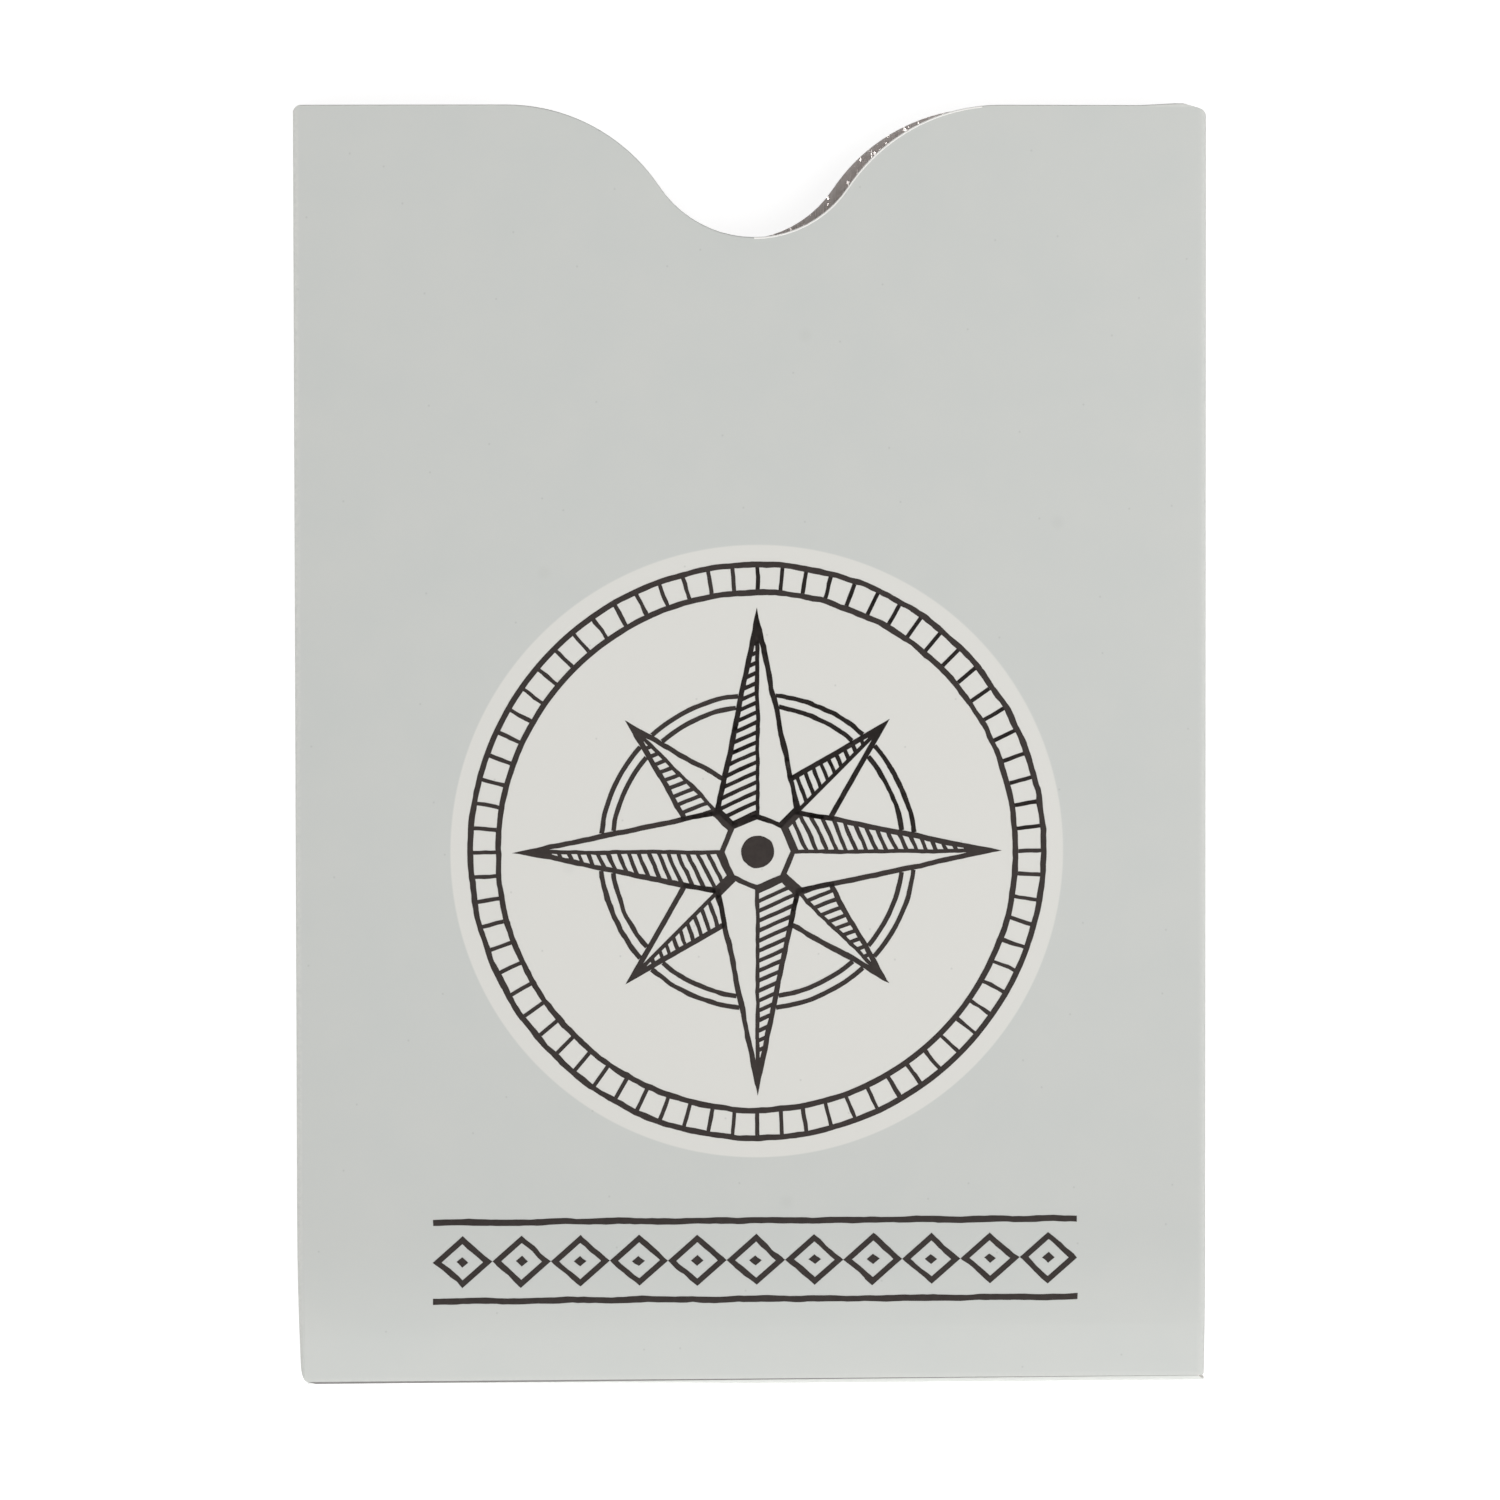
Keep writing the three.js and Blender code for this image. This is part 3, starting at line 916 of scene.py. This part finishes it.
def ink_point(corners, angle, slant):
    """Adds a point of the rose at an angle: its outline, a line down its middle and, on its left half,
    hatching across a slanted direction."""
    ink_shape(corners)
    bpy.ops.mesh.inset(thickness=ROSE_LINE, use_even_offset=True)
    paint(ASIDE)
    across = polar(1, angle + QUARTER)
    along = polar(1, angle + slant)
    divide(across, 0)
    for step in range(math.ceil(ROSE_POINT / HATCH_PITCH)):
        divide(along, step * HATCH_PITCH)

    def is_paper(face):
        middle = face.calc_center_median()
        side = middle.dot(across)
        line = middle.dot(along) / HATCH_PITCH
        between = abs(line - round(line)) * HATCH_PITCH > HATCH_LINE / 2
        return is_aside(face) and (side > HATCH_LINE / 2 or side < -HATCH_LINE / 2 and between)

    select("FACE", is_paper)
    bpy.ops.mesh.delete(type="FACE")
    select("FACE", is_aside)
    paint(INKED)


def crossing(one, other, radius):
    """Angle at which the line from one point out to another leaves a radius."""
    run = other - one
    a = run.length_squared
    b = one.dot(run)
    c = one.length_squared - radius**2
    share = (-b + math.sqrt(max(b * b - a * c, 0))) / a
    spot = one + run * share
    return math.atan2(spot.x, spot.y)


def start_ink(name):
    """A new print piece with nothing on it yet, in edit mode; paper kept aside has the second finish."""
    piece = start_point(name, (INK_BLACK, DUSTY_CUT_BOARD_PAINTED_SHADE), (0, 0, 0))
    bpy.ops.mesh.delete(type="VERT")
    return piece


def lay_ink(piece, card, low, high):
    """Divides the flat print finely, roughens it as a pen does and lays it on the front."""
    across = math.ceil((high.x - low.x) / INK_GRID)
    along = math.ceil((high.y - low.y) / INK_GRID)
    for step in range(1, across):
        score((low.x + step * INK_GRID, 0, 0), (1, 0, 0))
    for step in range(1, along):
        score((0, low.y + step * INK_GRID, 0), (0, 1, 0))
    bpy.ops.mesh.select_all(action="SELECT")
    bpy.ops.transform.translate(value=(0, 0, front_high.z + MM))
    bpy.ops.object.mode_set(mode="OBJECT")
    for size, strength in TREMORS:
        tremor = bpy.data.textures.new(piece.name, "CLOUDS")
        tremor.noise_scale = size
        apply_modifier(
            piece, "DISPLACE", texture=tremor, texture_coords="GLOBAL", direction="RGB_TO_XYZ",
            strength=strength, mid_level=0.5,
        )
    apply_modifier(
        piece, "SHRINKWRAP", target=card, wrap_method="PROJECT", use_project_z=True,
        use_negative_direction=True, use_positive_direction=False, offset=INK_TOP,
    )
    apply_modifier(piece, "SOLIDIFY", thickness=INK_THICKNESS, offset=-1)
    piece.data.materials.pop()
    seat(piece, "printed_card")


def rose_quarter():
    """One main point, one half point and the rings between them, at the top and to its right."""
    waist = Vector((ROSE_WAIST, ROSE_WAIST, 0))
    tip = polar(ROSE_POINT, 0)
    hub = polar(ROSE_HUB, 0)
    half_tip = polar(ROSE_HALF_POINT, QUARTER / 2)
    hub_side = polar(ROSE_HUB, QUARTER / 2)
    near = waist.lerp(tip, ROSE_SHARE)
    run = (tip - waist).normalized()
    inward = Vector((-run.y, run.x, 0))
    root = -waist.normalized()
    base = waist + root * (ROSE_LINE / inward.dot(root))
    base_side = near + inward * ROSE_LINE
    mirror = Matrix(((-1, 0, 0), (0, 1, 0), (0, 0, 1)))
    swap = Matrix(((0, 1, 0), (1, 0, 0), (0, 0, 1)))
    ink_point([hub, hub_side, waist, tip, mirror @ waist, mirror @ hub_side], 0, -HATCH_SLANT)
    ink_point([base, base_side, near, half_tip, swap @ near, swap @ base_side], QUARTER / 2, HATCH_SLANT)
    for radius in ROSE_RINGS:
        start = crossing(waist, tip, radius)
        end = crossing(near, half_tip, radius)
        ink_arc(radius, RING_LINE, start, end - start)
        ink_arc(radius, RING_LINE, QUARTER - end, end - start)
    for step in range(DIAL_TICKS):
        angle = QUARTER * step / DIAL_TICKS
        side = polar(TICK_WIDTH / 2, angle + QUARTER)
        ends = [polar(DIAL_INNER, angle), polar(DIAL_OUTER, angle)]
        ink_shape([ends[0] - side, ends[0] + side, ends[1] + side, ends[1] - side])


def wind_rose(card):
    piece = start_ink("wind_rose_print")
    rose_quarter()
    bpy.ops.mesh.select_mode(type="VERT")
    bpy.ops.mesh.select_all(action="SELECT")
    bpy.ops.mesh.spin(steps=4, angle=4 * QUARTER, center=(0, 0, 0), axis=UP, dupli=True)
    for radius in (DIAL_INNER - DIAL_LINE / 2, DIAL_OUTER + DIAL_LINE / 2):
        ink_arc(radius, DIAL_LINE, 0, 4 * QUARTER)
        bpy.ops.mesh.remove_doubles(threshold=HAIR)
    ink_shape([polar(ROSE_HUB / 2, 4 * QUARTER * step / HUB_SIDES) for step in range(HUB_SIDES)])
    bpy.ops.mesh.select_all(action="SELECT")
    bpy.ops.transform.translate(value=(DISC_CENTRE.x, DISC_CENTRE.y, 0))
    reach = Vector((DIAL_OUTER + DIAL_LINE, DIAL_OUTER + DIAL_LINE, 0))
    centre = Vector((DISC_CENTRE.x, DISC_CENTRE.y, 0))
    lay_ink(piece, card, centre - reach, centre + reach)


def rectangle(centre, width, height):
    half = Vector((width / 2, height / 2, 0))
    signs = ((-1, -1), (1, -1), (1, 1), (-1, 1))
    return [centre + Vector((x * half.x, y * half.y, 0)) for x, y in signs]


def lozenge(centre, width, height):
    arms = ((-width, 0), (0, -height), (width, 0), (0, height))
    return [centre + Vector((x / 2, y / 2, 0)) for x, y in arms]


def border_band(card):
    piece = start_ink("border_band_print")
    pitch = BAND_WIDTH / LOZENGES
    for side in (-1, 1):
        offset = Vector((0, side * (BAND_HEIGHT - BAND_RULE) / 2, 0))
        ink_shape(rectangle(BAND_CENTRE + offset, BAND_WIDTH, BAND_RULE))
    for step in range(LOZENGES):
        centre = BAND_CENTRE + Vector(((step + 0.5) * pitch - BAND_WIDTH / 2, 0, 0))
        ink_outline(lozenge(centre, pitch, LOZENGE_HEIGHT), LOZENGE_LINE)
        ink_shape(lozenge(centre, STUD_WIDTH, STUD_HEIGHT))
    reach = Vector((BAND_WIDTH / 2, BAND_HEIGHT / 2, 0))
    lay_ink(piece, card, BAND_CENTRE - reach, BAND_CENTRE + reach)


# The sleeve

CARD_FINISH = (PLAIN_PRINT, DUSTY_CUT_BOARD_PAINTED_SHADE)
FOIL_FINISH = (LINING_FOIL,)
front = front_card()
front_lining()
back_card()
back_lining()
left_fold("left_spine_card", CARD_FINISH, 0, CARD, "printed_card", "left_spine")
left_fold("left_spine_lining", FOIL_FINISH, PLY_INSET, FOIL, "lining_foil", "left_spine_foil")
right_fold("right_spine_card", CARD_FINISH, 0, CARD, "printed_card", "right_spine")
right_fold("right_spine_lining", FOIL_FINISH, PLY_INSET, FOIL, "lining_foil", "right_spine_foil")
bottom_fold("bottom_spine_card", CARD_FINISH, 0, CARD, "printed_card", "bottom_spine")
bottom_fold("bottom_spine_lining", FOIL_FINISH, PLY_INSET, FOIL, "lining_foil", "bottom_spine_foil")
side_strip(
    "side_flap_card", CARD_FINISH, side_flap_low, side_flap_high, CARD, "printed_card", "side_flap"
)
side_strip(
    "side_flap_lining", FOIL_FINISH, *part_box("side_flap_foil"), FOIL, "lining_foil", "side_flap_foil"
)
side_strip(
    "side_glue_line", (DRY_GLUE,), side_glue_low, side_glue_high, GLUE, "dry_glue", "side_glue_strip"
)
bottom_strip("bottom_flap_card", CARD_FINISH, "bottom_flap", FLAP_TOP, CARD, "printed_card")
bottom_strip(
    "bottom_flap_lining", FOIL_FINISH, "bottom_flap_foil", FLAP_TOP - PLY_INSET, FOIL, "lining_foil"
)
bottom_strip(
    "bottom_glue_line", (DRY_GLUE,), "bottom_glue_strip", FLAP_TOP + FILM + GLUE, GLUE, "dry_glue"
)
wind_rose(front)
border_band(front)


# Stage: a pale floor that the eye sees white, a room that is dimmer overhead and behind with a pale
# horizon, a broad window low at the front, a lamp above the right edge and a small one beyond the top left
# corner that flashes in the foil. Each lamp has its place, its size and its light on the front, as a share
# of what an even white sky gives

FLOOR_SIZE = 12
FLOOR_DROP = 0.02 * MM
FLOOR_GLOW = 0.8
ZENITH = 0.4
BEHIND = 0.6
WINDOW_TOWARDS = Vector((0, -1, 0))
WINDOW_STRENGTH = 2.2
LAMPS = ((Vector((0.24, 0.02, 0.44)), 0.3, 0.25), (Vector((-0.3, 0.3, 0.5)), 0.06, 0.045))
VIEW_DISTANCE = 0.85
VIEW_TARGET = Vector((-0.24 * MM, -0.49 * MM, DEPTH))
VIEW_LEAN_X = math.radians(-3.19)
VIEW_LEAN_Y = math.radians(2.35)
VIEW_ROLL = math.radians(-0.09)
FRAME_WIDTH = 156.16 * MM


def paper_floor():
    """Pale card sweep: matt, and topped up to white for the eye while it keeps the soft shadow."""
    bpy.ops.object.select_all(action="DESELECT")
    bpy.ops.mesh.primitive_plane_add(size=FLOOR_SIZE, location=(0, 0, -FLOOR_DROP))
    floor = bpy.context.object
    floor.name = "floor"
    paper, tree, shader, _ = new_finish("pale paper sweep", Roughness=0.9)
    shader.inputs["Base Color"].default_value = linear("aaaaaa")
    shader.inputs["Emission Color"].default_value = linear("ffffff")
    path = add(tree, "LightPath", {}, {})
    seen = path.outputs["Is Camera Ray"]
    for ray in ("Is Glossy Ray", "Is Transmission Ray"):
        seen = add(tree, "Math", {"operation": "MAXIMUM"}, {0: seen, 1: path.outputs[ray]}).outputs[0]
    glow = add(tree, "Math", {"operation": "MULTIPLY", 1: FLOOR_GLOW}, {0: seen})
    tree.links.new(glow.outputs[0], shader.inputs["Emission Strength"])
    floor.data.materials.append(paper)


def studio_light():
    scene = bpy.context.scene
    world = scene.world or bpy.data.worlds.new("studio")
    scene.world = world
    world.use_nodes = True
    tree = world.node_tree
    towards = add(tree, "TexCoord", {}, {}).outputs["Generated"]
    split = add(tree, "SeparateXYZ", {}, {0: towards})
    height = split.outputs["Z"]
    dim = add(
        tree, "MapRange", {"From Min": 0.1, "From Max": 0.7, "To Min": 1, "To Max": ZENITH},
        {"Value": height},
    )
    pale = add(
        tree, "MapRange", {"From Min": 0.05, "From Max": 0.2, "To Min": 1, "To Max": BEHIND},
        {"Value": height},
    )
    behind = add(
        tree, "MapRange", {"From Min": -0.2, "From Max": 0.6, "To Min": 1},
        {"Value": split.outputs["Y"], "To Max": pale.outputs["Result"]},
    )
    room = add(
        tree, "Math", {"operation": "MULTIPLY"}, {0: dim.outputs["Result"], 1: behind.outputs["Result"]}
    )
    facing = add(
        tree, "VectorMath", {"operation": "DOT_PRODUCT", 1: WINDOW_TOWARDS}, {0: towards}
    )
    across = add(
        tree, "MapRange", {"interpolation_type": "SMOOTHSTEP", "From Min": 0.1, "From Max": 0.7},
        {"Value": facing.outputs["Value"]},
    )
    window = add(
        tree, "MapRange",
        {
            "interpolation_type": "SMOOTHSTEP", "From Min": 0.75, "From Max": 0.45,
            "To Max": WINDOW_STRENGTH,
        },
        {"Value": height},
    )
    light = add(
        tree, "Math", {"operation": "MULTIPLY_ADD"},
        {0: window.outputs["Result"], 1: across.outputs["Result"], 2: room.outputs[0]},
    )
    tree.links.new(light.outputs[0], tree.nodes["Background"].inputs["Strength"])
    tree.nodes["Background"].inputs["Color"].default_value = linear("ffffff")
    for place, size, share in LAMPS:
        bpy.ops.object.light_add(type="AREA", location=place)
        lamp = bpy.context.object
        lamp.rotation_euler = place.to_track_quat("Z", "Y").to_euler()
        lamp.data.shape = "DISK"
        lamp.data.size = size
        lamp.data.energy = share * math.pi**2 * place.length**3 / place.z


def photo_camera():
    """Looks down from a little above and left of the middle, so the far edges draw in slightly."""
    lean = Vector((math.tan(VIEW_LEAN_X), math.tan(VIEW_LEAN_Y), 1)).normalized()
    place = VIEW_TARGET + lean * VIEW_DISTANCE
    right = (-lean).cross(Vector((0, 1, 0))).normalized()
    turn = Matrix((right, lean.cross(right), lean)).transposed() @ Matrix.Rotation(VIEW_ROLL, 3, "Z")
    bpy.ops.object.camera_add(location=place, rotation=turn.to_euler())
    camera = bpy.context.object
    camera.data.lens = camera.data.sensor_width * VIEW_DISTANCE / FRAME_WIDTH
    camera.data.clip_end = FLOOR_SIZE
    bpy.context.scene.camera = camera


paper_floor()
studio_light()
photo_camera()
bpy.context.scene.view_settings.view_transform = "Standard"
